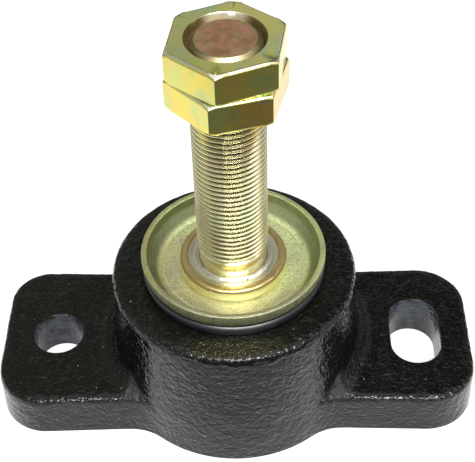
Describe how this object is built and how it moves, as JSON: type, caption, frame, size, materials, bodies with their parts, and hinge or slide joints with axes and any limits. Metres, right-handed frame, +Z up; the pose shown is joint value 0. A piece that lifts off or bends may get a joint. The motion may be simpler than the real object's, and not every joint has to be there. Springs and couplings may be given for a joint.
{
  "type": "rubber anti-vibration mount",
  "caption": "Cast housing with two feet holding a bonded rubber insert, with a threaded stud, dished cup washer and thin jam nuts to carry a machine's bracket.",
  "frame": {"origin": "on the base plane, where the stud's axis meets it, which is the middle of the housing", "axes": "+X runs along the feet towards the slotted foot, +Y across them, +Z up the stud"},
  "size_m": [0.1364, 0.0696, 0.1189],
  "materials": {
    "black_enamel": "gloss black enamel over a rough casting",
    "bare_steel": "plain steel tube",
    "rubber": "smooth moulded natural rubber",
    "collar_steel": "rolled steel with thin, pinkish yellow zinc",
    "cup_plating": "yellow zinc plate, green-gold and slightly grainy",
    "stud_plating": "yellow zinc plate on a rolled thread",
    "nut_plating": "yellow zinc plate with faint rainbow tints"
  },
  "bodies": {
    "base": {"housing": "black_enamel", "outer_sleeve": "bare_steel", "rubber_insert": "rubber", "rebound_pad": "rubber"},
    "core": {"stud": "stud_plating", "inner_sleeve": "collar_steel", "cup_washer": "cup_plating", "rebound_washer": "cup_plating"},
    "adjusting_nut": {"adjusting_nut": "nut_plating"},
    "lock_nut": {"lock_nut": "nut_plating"}
  },
  "joints": [
    {"name": "stud_bounce", "type": "slide", "parent": "base", "child": "core", "axis": [0, 0, 1], "range_m": [-0.003, 0.0015], "stiffness_N_per_m": 150000, "deforming": ["rubber_insert", "rebound_pad"]},
    {"name": "adjusting_nut_travel", "type": "slide", "parent": "core", "child": "adjusting_nut", "axis": [0, 0, 1], "range_m": [-0.0496, 0]},
    {"name": "lock_nut_travel", "type": "slide", "parent": "adjusting_nut", "child": "lock_nut", "axis": [0, 0, 1], "range_m": [0, 0.0084]}
  ]
}
